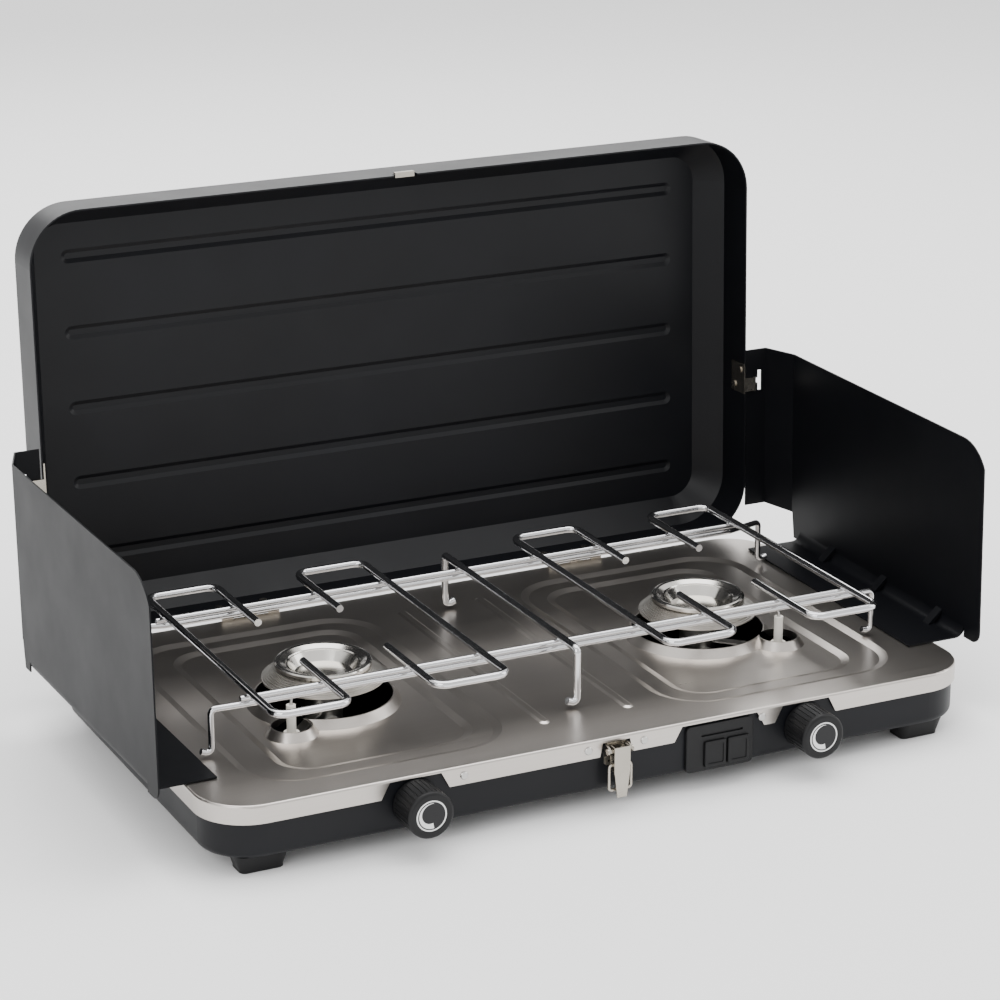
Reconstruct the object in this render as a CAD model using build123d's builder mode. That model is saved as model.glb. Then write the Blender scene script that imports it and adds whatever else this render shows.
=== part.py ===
"""Two-burner folding camping stove, standing open.

Frame: millimetres, +Z up, origin at the centre of the stove's whole footprint, on the ground.
The cook stands at -Y. The lid is hinged along the rear edge and stands open.
"""
from build123d import *
import os
from math import atan, cos, degrees, radians, sin

os.makedirs("parts", exist_ok=True)

# ---------------------------------------------------------------- driving dimensions
BASE_W = 530.0              # outside of the steel skirt, left to right
BASE_D = 294.0              # outside of the steel skirt, front to rear
BASE_R = 34.0               # plan corner radius
FOOT_H = 11.5
BODY_H = 35.5               # underside of the pan to the top of the tray
SKIRT_H = 12.0
SHEET = 1.0                 # sheet metal thickness
PAN_INSET = 2.0             # the painted pan sits this far inside the skirt
RUN = 0.3                   # gap between pieces that move past each other

CENTRE_Y = -18.4            # middle of the base, measured from the middle of the whole footprint
CENTRE_X = 0.0
TRAY_Z = FOOT_H + BODY_H    # top face of the tray
PAN_W = BASE_W - 2 * PAN_INSET
PAN_D = BASE_D - 2 * PAN_INSET
FRONT = CENTRE_Y - BASE_D / 2
REAR = CENTRE_Y + BASE_D / 2
PAN_FRONT = FRONT + PAN_INSET

LID_W, LID_H, LID_R = 528.5, 288.5, 36.0
LID_WALL = 31.0             # straight side wall
LID_FACET = 16.8            # depth of the sloping band around the lid's panel
LID_FACET_IN = 17.5         # how far that band runs in from the side wall
LEAN = 2.0                  # the open lid leans back by this many degrees
PIVOT_Y, PIVOT_Z = CENTRE_Y + BASE_D / 2 + 2.0, TRAY_Z + 2.6
LID_FROM_PIVOT = (-0.6, -0.2)   # lid's lower rim corner from the hinge pin: along Y, along Z

BURNER_X, BURNER_Y = 136.0, -7.3
KNOB_X, KNOB_Z = 136.0, TRAY_Z - 17.4
WIRE = 5.0                  # grate wire
RAIL = 4.0                  # support rails
GRATE_Z = TRAY_Z + 39.0     # middle of the grate wires

LID = Plane(
    origin=(CENTRE_X, PIVOT_Y + LID_FROM_PIVOT[0], PIVOT_Z + LID_FROM_PIVOT[1]),
    x_dir=(-1, 0, 0),
    z_dir=(0, cos(radians(LEAN)), -sin(radians(LEAN))),
)                           # x across, y up the lid, z backwards into its depth
SIDES = {"left": -1, "right": 1}


def finish(builder, name, colour):
    """Names a finished piece and writes its STEP file."""
    builder.part.label = name
    builder.part.color = Color(*colour)
    export_step(builder.part, f"parts/{name}.step")


def plan(z):
    """A level plane at height z, centred on the base."""
    return Plane.XY.offset(z).move(Location((CENTRE_X, CENTRE_Y, 0)))


def front_plane(y):
    """An upright plane that faces the cook, centred on the base, at tray height."""
    return Plane(origin=(CENTRE_X, y, TRAY_Z), x_dir=(1, 0, 0), z_dir=(0, -1, 0))


def knob_axis(side, y):
    """A plane across one knob's axis, facing the cook."""
    return Plane(origin=(CENTRE_X + side * KNOB_X, y, KNOB_Z), x_dir=(1, 0, 0), z_dir=(0, -1, 0))


def burner_axis(side, z):
    """A level plane on one burner's axis."""
    return Plane.XY.offset(z).move(
        Location((CENTRE_X + side * BURNER_X, CENTRE_Y + BURNER_Y, 0))
    )


BLACK, STEEL = (0.03, 0.03, 0.035), (0.72, 0.71, 0.69)
CHROME, NICKEL = (0.85, 0.85, 0.86), (0.75, 0.7, 0.62)
BRASS, CERAMIC = (0.72, 0.56, 0.25), (0.93, 0.91, 0.86)
PLASTIC, WHITE = (0.02, 0.02, 0.02), (0.9, 0.9, 0.9)


# ---------------------------------------------------------------- hinges and their rivets
HINGE_X, HINGE_W = 124.0, 42.0
KNUCKLE_R, HINGE_PIN_R = 2.7, 1.2
KNUCKLES = 5
LEAF_START, LEAF_LEN, LEAF_DROP = 5.0, 24.0, 11.0
RIVET_R, RIVET_HEAD, RIVET_PITCH = 1.5, 2.6, 32.0
BRACKET_Z, BRACKET_H = 116.0, 22.0      # shield bracket's middle, above the tray
RIVET_DEPTH, RIVET_DROP = 16.0, 7.0     # from the lid's rim, and below the tray's top
KNUCKLE_W = HINGE_W / KNUCKLES


def across(x):
    """An upright plane across the stove at x, centred on the hinge pin's line, looking along +X."""
    return Plane(origin=(x, PIVOT_Y, PIVOT_Z), x_dir=(0, 1, 0), z_dir=(1, 0, 0))


def knuckle_starts(first):
    """Left ends of every other knuckle, over both hinges."""
    starts = []
    for side in SIDES.values():
        left = CENTRE_X + side * HINGE_X - HINGE_W / 2
        starts += [left + i * KNUCKLE_W for i in range(first, KNUCKLES, 2)]
    return starts


def base_rivet_planes():
    """Planes at the rivets of both base leaves, facing the rear."""
    xs = [side * HINGE_X + end * RIVET_PITCH / 2 for side in (-1, 1) for end in (-1, 1)]
    at = [(CENTRE_X + x, REAR + SHEET, TRAY_Z - RIVET_DROP) for x in xs]
    return [Plane(origin=spot, x_dir=(-1, 0, 0), z_dir=(0, 1, 0)) for spot in at]


def lid_rivet_planes():
    """Planes at the hinge rivets on the inner face of the lid's lower wall."""
    xs = [side * HINGE_X + end * RIVET_PITCH / 2 for side in (-1, 1) for end in (-1, 1)]
    return [Plane(LID.location * Location((x, SHEET, RIVET_DEPTH), (-90, 0, 0))) for x in xs]


def holes(planes, radius, depth):
    """Round holes at these planes, cut towards their backs."""
    for spot in planes:
        with BuildSketch(spot.offset(SHEET)) as hole:
            Circle(radius)
        extrude(hole.sketch, amount=-depth - SHEET, mode=Mode.SUBTRACT)


def bracket_rivet_planes(side):
    """Planes at one bracket's two rivets, on its face inside the lid's side wall."""
    x = -side * (LID_W / 2 - 2 * SHEET)
    up = BRACKET_Z - LID_FROM_PIVOT[1] - PIVOT_Z + TRAY_Z
    spots = [(x, up + end * 6, 9.0 - end * 4) for end in (-1, 1)]
    return [Plane(LID.location * Location(spot, (0, side * 90, 0))) for spot in spots]


# ---------------------------------------------------------------- base pan
STEM_HOLE = 4.6
IGNITER_X = 73.4            # igniter housing, right of the middle
IGNITER_W, IGNITER_H = 48.0, 31.0
IGNITER_Z = -19.5           # its middle, from the top of the tray
INLET_Y, INLET_Z = 60.0, TRAY_Z - 21.0      # gas inlet on the right-hand wall
INLET_R = 6.0
FOOT_X, FOOT_Y = 231.0, 128.0
SCREW_R = 1.9
SCREWS_X, SCREW_DROP, SKIRT_SCREW_R = (-104.0, -19.5, 19.5, 104.0), 6.2, 1.45
VENT, VENT_PITCH, VENTS = (26.0, 5.0), 12.0, 5
PAN_BEND = 5.0
INSERT = (44.0, 28.0)       # igniter housing's body, where it passes through the pan

with BuildPart() as base_pan:
    with BuildSketch(plan(FOOT_H)):
        RectangleRounded(PAN_W, PAN_D, BASE_R - PAN_INSET)
    extrude(amount=BODY_H - SHEET)
    with BuildSketch(plan(FOOT_H + SHEET)):
        RectangleRounded(PAN_W - 2 * SHEET, PAN_D - 2 * SHEET, BASE_R - PAN_INSET - SHEET)
    extrude(amount=BODY_H, mode=Mode.SUBTRACT)
    fillet(base_pan.faces().sort_by(Axis.Z)[1].edges(), radius=PAN_BEND - SHEET)
    fillet(base_pan.faces().sort_by(Axis.Z)[0].edges(), radius=PAN_BEND)
    for side in SIDES.values():
        with BuildSketch(knob_axis(side, PAN_FRONT)):
            Circle(STEM_HOLE)
        extrude(amount=-3 * SHEET, mode=Mode.SUBTRACT)
        with BuildSketch(plan(FOOT_H)):
            with Locations((side * BURNER_X, BURNER_Y)):
                with GridLocations(0, VENT_PITCH, 1, VENTS):
                    SlotOverall(*VENT)
        extrude(amount=2 * SHEET, mode=Mode.SUBTRACT)
    with BuildSketch(front_plane(PAN_FRONT)):
        with Locations((IGNITER_X, IGNITER_Z)):
            RectangleRounded(INSERT[0], INSERT[1], 2)
    extrude(amount=-3 * SHEET, mode=Mode.SUBTRACT)
    with BuildSketch(Plane.YZ.offset(CENTRE_X + PAN_W / 2 - 3 * SHEET)):
        with Locations((CENTRE_Y + INLET_Y, INLET_Z)):
            Circle(INLET_R + 0.1)
    extrude(amount=6 * SHEET, mode=Mode.SUBTRACT)
    with BuildSketch(plan(FOOT_H)):
        with GridLocations(2 * FOOT_X, 2 * FOOT_Y, 2, 2):
            Circle(SCREW_R + 0.2)
    extrude(amount=2 * SHEET, mode=Mode.SUBTRACT)
    with BuildSketch(front_plane(FRONT)):
        for x in SCREWS_X:
            with Locations((x, -SCREW_DROP)):
                Circle(SKIRT_SCREW_R)
    extrude(amount=-PAN_INSET - 2 * SHEET, mode=Mode.SUBTRACT)
finish(base_pan, "base_pan", BLACK)

# ---------------------------------------------------------------- tray
WELL = (174.0, 246.0, 36.0, 1.5)        # outer step: width, depth, corner radius, drop
WELL_IN = (132.0, 214.0, 24.0, 1.5)     # inner step
WELL_X, WELL_IN_X, WELL_Y = 141.0, 137.0, -2.0
WELL_FLOOR = -WELL[3] - WELL_IN[3]      # from the top of the tray
WELL_SLOPE, RIB_SLOPE = 75.0, 60.0       # sides of the steps and ribs, from upright
OPENING_R, COLLAR_SLOPE, COLLAR_TOP = 44.0, 6.0, 2.5
LOBE = (39.0, -40.5, 12.5)              # electrode lobe from the burner's centre: across, back, radius
RIB_X, RIB_LEN, RIB_W, RIB_H = 29.5, 222.0, 9.0, 1.0
KNOB_NOTCH = (34.0, 46.0, -1.7)         # width at the top, width at the foot, height of the top
IGNITER_NOTCH = (54.0, 66.0, -2.4)
LATCH_NOTCH = (19.0, 23.0, -3.0)


def keyhole_cones(side, radii, lobe_radii, low, high, mode=Mode.ADD):
    """Two cones, one at a burner's opening and one at its electrode lobe."""
    height = high - low
    spots = (((0, 0), radii), ((side * LOBE[0], LOBE[1]), lobe_radii))
    for (x, y), (r_low, r_high) in spots:
        middle = (x, y, low + height / 2)
        with Locations(burner_axis(side, TRAY_Z).location * Location(middle)):
            Cone(r_low, r_high, height, mode=mode)


def notch(x_mid, wide_top, wide_low, top):
    """A cut-out in the front skirt with slanted ends, open at its lower edge."""
    with BuildSketch(front_plane(FRONT - 1)) as outline:
        with BuildLine():
            Polyline(
                (x_mid - wide_top / 2, top),
                (x_mid + wide_top / 2, top),
                (x_mid + wide_low / 2, -SKIRT_H - 1),
                (x_mid - wide_low / 2, -SKIRT_H - 1),
                close=True,
            )
        make_face()
    extrude(outline.sketch, amount=-(PAN_INSET + 1), mode=Mode.SUBTRACT)


with BuildPart() as top_tray:
    with BuildSketch(plan(TRAY_Z - SKIRT_H)):
        RectangleRounded(BASE_W, BASE_D, BASE_R)
    extrude(amount=SKIRT_H)
    fillet(top_tray.faces().sort_by(Axis.Z)[-1].edges(), radius=1.6)
    with BuildSketch(plan(TRAY_Z - SKIRT_H)):
        RectangleRounded(BASE_W - 2 * SHEET, BASE_D - 2 * SHEET, BASE_R - SHEET)
    extrude(amount=SKIRT_H - SHEET, mode=Mode.SUBTRACT)
    for side in SIDES.values():
        # the pressed well's underside, then its two steps
        with BuildSketch(plan(TRAY_Z - SHEET)):
            with Locations((side * WELL_X, WELL_Y)):
                RectangleRounded(WELL[0] + 2 * SHEET, WELL[1] + 2 * SHEET, WELL[2])
        extrude(amount=WELL_FLOOR, taper=20)
        with BuildSketch(plan(TRAY_Z)):
            with Locations((side * WELL_X, WELL_Y)):
                RectangleRounded(WELL[0], WELL[1], WELL[2])
        extrude(amount=-WELL[3], taper=WELL_SLOPE, mode=Mode.SUBTRACT)
        with BuildSketch(plan(TRAY_Z - WELL[3])):
            with Locations((side * WELL_IN_X, WELL_Y)):
                RectangleRounded(WELL_IN[0], WELL_IN[1], WELL_IN[2])
        extrude(amount=-WELL_IN[3], taper=WELL_SLOPE, mode=Mode.SUBTRACT)
        # the raised collar around each keyhole opening
        keyhole_cones(
            side,
            (OPENING_R + COLLAR_SLOPE, OPENING_R + SHEET),
            (LOBE[2] + COLLAR_SLOPE - 1, LOBE[2] + SHEET),
            WELL_FLOOR - SHEET / 2, COLLAR_TOP,
        )
    for side in SIDES.values():
        keyhole_cones(
            side,
            (OPENING_R + COLLAR_SLOPE - SHEET, OPENING_R),
            (LOBE[2] + COLLAR_SLOPE - 1 - SHEET, LOBE[2]),
            WELL_FLOOR - 2 * SHEET, COLLAR_TOP + 0.01,
            mode=Mode.SUBTRACT,
        )
    with BuildSketch(plan(TRAY_Z - SHEET / 2)):
        with GridLocations(2 * RIB_X, 0, 2, 1):
            SlotOverall(RIB_LEN, RIB_W, rotation=90)
    extrude(amount=SHEET / 2 + RIB_H, taper=RIB_SLOPE)
    for side in SIDES.values():
        notch(side * KNOB_X, *KNOB_NOTCH)
    notch(IGNITER_X, *IGNITER_NOTCH)
    notch(0, *LATCH_NOTCH)
    with BuildSketch(front_plane(FRONT - 1)):
        for x in SCREWS_X:
            with Locations((x, -SCREW_DROP)):
                Circle(SKIRT_SCREW_R + 0.1)
    extrude(amount=-3 * SHEET, mode=Mode.SUBTRACT)
    holes(base_rivet_planes(), RIVET_R, 4 * SHEET)
finish(top_tray, "top_tray", STEEL)

# ---------------------------------------------------------------- burners
BURNER_TOP = TRAY_Z + 25.5
HEAD_LOW = TRAY_Z + 13.5      # lower edge of the burner's ridged head
RING_R, BODY_LOW_R, THROAT_R = 31.0, 39.5, 12.0
RIDGES, RIDGE = 4, 1.1      # knurled ridges round the body, and how far each stands out
PORTS = 48
TUBE_Z = KNOB_Z             # mixing tube's axis, below the burner
TUBE_R = 8.0
THROAT_LOW = TUBE_Z + TUBE_R + 1
INJECTOR_Y = PAN_FRONT + 44.0


def turned(points):
    """A revolved solid from half its section, as radius and height pairs on the current plane."""
    with BuildSketch(Plane.XZ) as half:
        with BuildLine():
            Polyline(*points, close=True)
        make_face()
    return revolve(half.sketch, Axis.Z, mode=Mode.PRIVATE)


def at_burner(side, z, solid):
    """The same solid, standing on one burner's axis at height z."""
    add(burner_axis(side, z).location * solid)


def ridged_side():
    """The body's outer side, from its lower edge up to the ring, as radius and height pairs."""
    low, high = HEAD_LOW, BURNER_TOP - 4.5
    step = (high - low) / RIDGES
    points = []
    for i in range(RIDGES):
        r = BODY_LOW_R - (BODY_LOW_R - RING_R - 1.0) * i / (RIDGES - 1)
        points += [(r, low + i * step), (r, low + (i + 0.55) * step)]
        points += [(r - RIDGE, low + (i + 0.6) * step), (r - RIDGE, low + (i + 1) * step)]
    return points


for name, side in SIDES.items():
    axis_y = CENTRE_Y + BURNER_Y
    tube_x = CENTRE_X + side * KNOB_X

    # cast body: a cup with ridged sides on a throat that drops into the mixing tube
    with BuildPart() as burner_body:
        side_points = ridged_side()
        top = side_points[-1][1]
        cup = turned(
            [(THROAT_R - 2.5, THROAT_LOW), (THROAT_R, THROAT_LOW)]
            + [(THROAT_R, HEAD_LOW - 6), (BODY_LOW_R - 3, HEAD_LOW - 1)]
            + side_points
            + [(RING_R - 3.5, top), (RING_R - 4.5, HEAD_LOW + 1), (THROAT_R - 2.5, HEAD_LOW - 3.5)]
        )
        at_burner(side, 0, cup)
    finish(burner_body, f"{name}_burner_body", (0.62, 0.6, 0.56))

    # port ring: a broad turned ring on top, with a row of gas ports round its edge
    with BuildPart() as port_ring:
        low = BURNER_TOP - 4.5
        ring = turned(
            [(RING_R - 7.6, low), (RING_R - 1.5, low), (RING_R, low + 1.5)]
            + [(RING_R, low + 3.4), (RING_R - 0.7, BURNER_TOP - 0.3), (RING_R - 1.9, BURNER_TOP)]
            + [(RING_R - 3.4, BURNER_TOP - 0.3), (RING_R - 7.0, BURNER_TOP - 2.0)]
            + [(RING_R - 7.6, BURNER_TOP - 2.7)]
        )
        at_burner(side, 0, ring)
        with Locations(burner_axis(side, low + 0.55).location):
            with PolarLocations(RING_R - 1.5, PORTS):
                Cylinder(0.45, 4, rotation=(0, 90, 0), mode=Mode.SUBTRACT)
    finish(port_ring, f"{name}_port_ring", CHROME)

    # cap: a deep dished disc inside the ring
    with BuildPart() as cap:
        low = BURNER_TOP - 10.0
        dish = turned(
            [(0, low), (RING_R - 11.6, low), (RING_R - 7.7, low + 5.6)]
            + [(RING_R - 7.7, low + 7.3), (RING_R - 8.4, low + 7.3)]
            + [(RING_R - 12.6, low + 1.3), (0, low + 1.3)]
        )
        at_burner(side, 0, dish)
    finish(cap, f"{name}_burner_cap", CHROME)

    # mixing tube: from the injector at the front back to the burner's throat
    with BuildPart() as mixing_tube:
        start = INJECTOR_Y + 5
        length = axis_y - start
        with BuildSketch(Plane(origin=(tube_x, start, TUBE_Z), x_dir=(1, 0, 0), z_dir=(0, 1, 0))):
            Circle(TUBE_R)
        extrude(amount=length)
        with BuildSketch(burner_axis(side, FOOT_H + SHEET)):
            Circle(THROAT_R)
        extrude(amount=THROAT_LOW - FOOT_H - SHEET)
        with BuildSketch(burner_axis(side, THROAT_LOW)):
            Circle(THROAT_R - 2.8)
        extrude(amount=4)
        with BuildSketch(
            Plane(origin=(tube_x, start - 1, TUBE_Z), x_dir=(1, 0, 0), z_dir=(0, 1, 0))
        ):
            Circle(TUBE_R - SHEET)
        extrude(amount=length + 1, mode=Mode.SUBTRACT)
        with BuildSketch(burner_axis(side, TUBE_Z - TUBE_R + SHEET)):
            Circle(THROAT_R - 3.8)
        extrude(amount=THROAT_LOW + 5 - (TUBE_Z - TUBE_R + SHEET), mode=Mode.SUBTRACT)
        # air window in each flank of the tube, near the injector
        with Locations((tube_x, start + 9, TUBE_Z)):
            Box(3 * TUBE_R, 9, 6, mode=Mode.SUBTRACT)
    finish(mixing_tube, f"{name}_mixing_tube", (0.6, 0.6, 0.6))

    # injector: a small brass jet that screws into the valve and points down the tube
    with BuildPart() as injector:
        with BuildSketch(
            Plane(origin=(tube_x, INJECTOR_Y - 4, TUBE_Z), x_dir=(1, 0, 0), z_dir=(0, 1, 0))
        ):
            RegularPolygon(4.5, 6)
        extrude(amount=4)
        with BuildSketch(
            Plane(origin=(tube_x, INJECTOR_Y, TUBE_Z), x_dir=(1, 0, 0), z_dir=(0, 1, 0))
        ):
            Circle(3)
        extrude(amount=5, taper=12)
        with Locations(
            Plane(origin=(tube_x, INJECTOR_Y, TUBE_Z), x_dir=(1, 0, 0), z_dir=(0, 1, 0)).location
        ):
            Cylinder(0.4, 14, mode=Mode.SUBTRACT)
    finish(injector, f"{name}_injector", BRASS)

# ---------------------------------------------------------------- valves, gas line and knobs
STEM_R = 4.0
VALVE = (16.0, 22.0, 18.0)          # across, front to back, high
KNOB_R, KNOB_LEN = 15.0, 24.0
KNOB_BACK = PAN_FRONT - 0.8
MARK_R = 9.6
PIPE_R = 4.0
VALVE_FRONT = PAN_FRONT + SHEET + 3.0
VALVE_REAR = VALVE_FRONT + VALVE[1]
PIPE_Y = VALVE_REAR - 7.0           # pipe's axis where it leaves the valves
PIPE_BACK = PAN_FRONT + 47.0        # pipe's axis behind the igniter
PIPE_DETOUR = (30.0, 112.0)
PIPE_BEND = 8.0
STEM_IN = 13.0                      # stem's length inside the valve
SOCKET = 8.0                        # stem's length inside the knob

for name, side in SIDES.items():
    x = CENTRE_X + side * KNOB_X
    with BuildPart() as valve_body:
        with Locations((x, VALVE_FRONT + VALVE[1] / 2, KNOB_Z)):
            Box(*VALVE)
        fillet(valve_body.edges().filter_by(Axis.Y), radius=3)
        with BuildSketch(knob_axis(side, VALVE_FRONT)):
            Circle(6.5)
        extrude(amount=VALVE_FRONT - PAN_FRONT - SHEET)
        with BuildSketch(knob_axis(side, PAN_FRONT)):
            Circle(STEM_R + 0.05)
        extrude(amount=-(VALVE_FRONT + STEM_IN + RUN - PAN_FRONT), mode=Mode.SUBTRACT)
        with BuildSketch(knob_axis(side, INJECTOR_Y - 4)):
            Circle(5.5)
        extrude(amount=INJECTOR_Y - 4 - VALVE_REAR)
    finish(valve_body, f"{name}_valve_body", BRASS)

    with BuildPart() as valve_stem:
        with BuildSketch(knob_axis(side, KNOB_BACK - SOCKET)):
            Circle(STEM_R)
            with Locations((0, STEM_R)):
                Rectangle(2 * STEM_R, 2, mode=Mode.SUBTRACT)
        extrude(amount=-(VALVE_FRONT + STEM_IN - KNOB_BACK + SOCKET))
    finish(valve_stem, f"{name}_valve_stem", BRASS)

    # knob: knurled barrel with a round bore, and a shallow recess in its face for the mark
    with BuildPart() as knob:
        with BuildSketch(knob_axis(side, KNOB_BACK)):
            Circle(KNOB_R)
        extrude(amount=KNOB_LEN)
        fillet(knob.faces().sort_by(Axis.Y)[0].edges(), radius=2.2)
        chamfer(knob.faces().sort_by(Axis.Y)[-1].edges(), length=0.8)
        with BuildSketch(knob_axis(side, KNOB_BACK)):
            Circle(STEM_R)
            with Locations((0, STEM_R)):
                Rectangle(2 * STEM_R, 2, mode=Mode.SUBTRACT)
        extrude(amount=SOCKET, mode=Mode.SUBTRACT)
        with BuildSketch(knob_axis(side, KNOB_BACK - KNOB_LEN)):
            Circle(MARK_R + 0.6)
        extrude(amount=-1.2, mode=Mode.SUBTRACT)
        with BuildSketch(knob_axis(side, KNOB_BACK - 3)):
            with PolarLocations(KNOB_R, 30):
                Circle(0.45)
        extrude(amount=KNOB_LEN - 6, mode=Mode.SUBTRACT)
    finish(knob, f"{name}_knob", PLASTIC)

    # printed disc: a black button with a white ring and a white wedge that thickens like a scale
    with BuildPart() as knob_disc:
        with BuildSketch(knob_axis(side, KNOB_BACK - KNOB_LEN + 1.2)):
            Circle(MARK_R + 0.6)
        extrude(amount=0.9)
    finish(knob_disc, f"{name}_knob_disc", PLASTIC)


def tube_along(points, bend):
    """A thin pipe swept along points, on the current part."""
    with BuildLine() as route:
        FilletPolyline(*points, radius=bend)
    for radius, mode in ((PIPE_R, Mode.ADD), (PIPE_R - 1, Mode.SUBTRACT)):
        with BuildSketch(Plane(origin=points[0], z_dir=(1, 0, 0))) as section:
            Circle(radius)
        add(sweep(section.sketch, path=route.line, mode=Mode.PRIVATE), mode=mode)


# pipe from the left valve, behind the igniter to the right valve, and on to the inlet
WALL_X = CENTRE_X + PAN_W / 2 - SHEET       # inner face of the pan's right-hand wall
INLET_BORE, INLET_IN, INLET_OUT = 3.5, 20.0, 16.0
with BuildPart() as gas_pipe:
    left_x, right_x = CENTRE_X - KNOB_X + VALVE[0] / 2, CENTRE_X + KNOB_X - VALVE[0] / 2
    near_x, far_x = (CENTRE_X + x for x in PIPE_DETOUR)
    tube_along(
        [(left_x, PIPE_Y, KNOB_Z), (near_x, PIPE_Y, KNOB_Z), (near_x, PIPE_BACK, KNOB_Z)]
        + [(far_x, PIPE_BACK, KNOB_Z), (far_x, PIPE_Y, KNOB_Z), (right_x, PIPE_Y, KNOB_Z)],
        PIPE_BEND,
    )
    out_x, turn_x, inlet_y = CENTRE_X + KNOB_X + VALVE[0] / 2, WALL_X - 46, CENTRE_Y + INLET_Y
    tube_along(
        [(out_x, PIPE_Y, KNOB_Z), (turn_x, PIPE_Y, KNOB_Z), (turn_x, inlet_y, INLET_Z)]
        + [(WALL_X - INLET_IN, inlet_y, INLET_Z)],
        PIPE_BEND,
    )
finish(gas_pipe, "gas_pipe", (0.6, 0.45, 0.3))

with BuildPart() as gas_inlet:
    for start, length, radius in (
        (-INLET_IN, INLET_IN, INLET_R + 1.5),
        (-INLET_IN, INLET_IN + INLET_OUT, INLET_R),
    ):
        with BuildSketch(Plane.YZ.offset(WALL_X + start)):
            with Locations((CENTRE_Y + INLET_Y, INLET_Z)):
                Circle(radius)
        extrude(amount=length)
    with BuildSketch(Plane.YZ.offset(WALL_X + SHEET)):
        with Locations((CENTRE_Y + INLET_Y, INLET_Z)):
            RegularPolygon(INLET_R + 1.6, 6)
    extrude(amount=5)
    with BuildSketch(Plane.YZ.offset(WALL_X - INLET_IN - 1)):
        with Locations((CENTRE_Y + INLET_Y, INLET_Z)):
            Circle(INLET_BORE)
    extrude(amount=INLET_IN + INLET_OUT + 2, mode=Mode.SUBTRACT)
finish(gas_inlet, "gas_inlet", BRASS)

# ---------------------------------------------------------------- ignition
BUTTON_W, BUTTON_H, BUTTON_PITCH = 15.2, 17.0, 16.6
BUTTON_X, BUTTON_Z = IGNITER_X + 4.4, -23.6     # middle of the pair, from the tray's top
BUTTON_OUT, BUTTON_TRAVEL = 2.0, 4.0
HOUSING_OUT = 2.6
HOUSING_FRONT = PAN_FRONT - HOUSING_OUT
WALL = 2.0
BACK_PLATE = PAN_FRONT + 22.0
PIEZO_LEN = 15.0

with BuildPart() as igniter_housing:
    with BuildSketch(front_plane(PAN_FRONT)):
        with Locations((IGNITER_X, IGNITER_Z)):
            RectangleRounded(IGNITER_W, IGNITER_H, 3)
    extrude(amount=HOUSING_OUT)
    fillet(igniter_housing.faces().sort_by(Axis.Y)[0].edges(), radius=0.8)
    with BuildSketch(front_plane(PAN_FRONT)):
        with Locations((IGNITER_X, IGNITER_Z)):
            RectangleRounded(INSERT[0] - 2 * RUN, INSERT[1] - 2 * RUN, 2)
    extrude(amount=-(BACK_PLATE - PAN_FRONT))
    with BuildSketch(front_plane(HOUSING_FRONT - 1)):
        with Locations((BUTTON_X, BUTTON_Z)):
            with GridLocations(BUTTON_PITCH, 0, 2, 1):
                RectangleRounded(BUTTON_W + 2 * RUN, BUTTON_H + 2 * RUN, 1.5)
    extrude(amount=-(BACK_PLATE - HOUSING_FRONT - WALL + 1), mode=Mode.SUBTRACT)
    with BuildSketch(front_plane(HOUSING_FRONT)):
        with Locations((BUTTON_X - 3, BUTTON_Z + BUTTON_H / 2 + 4.2)):
            SlotOverall(30, 1.6)
    extrude(amount=-1.2, mode=Mode.SUBTRACT)
    with BuildSketch(front_plane(BACK_PLATE + 1)):
        with Locations((BUTTON_X, BUTTON_Z)):
            with GridLocations(BUTTON_PITCH, 0, 2, 1):
                Circle(5.5)
    extrude(amount=2 * WALL, mode=Mode.SUBTRACT)
finish(igniter_housing, "igniter_housing", PLASTIC)

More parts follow.
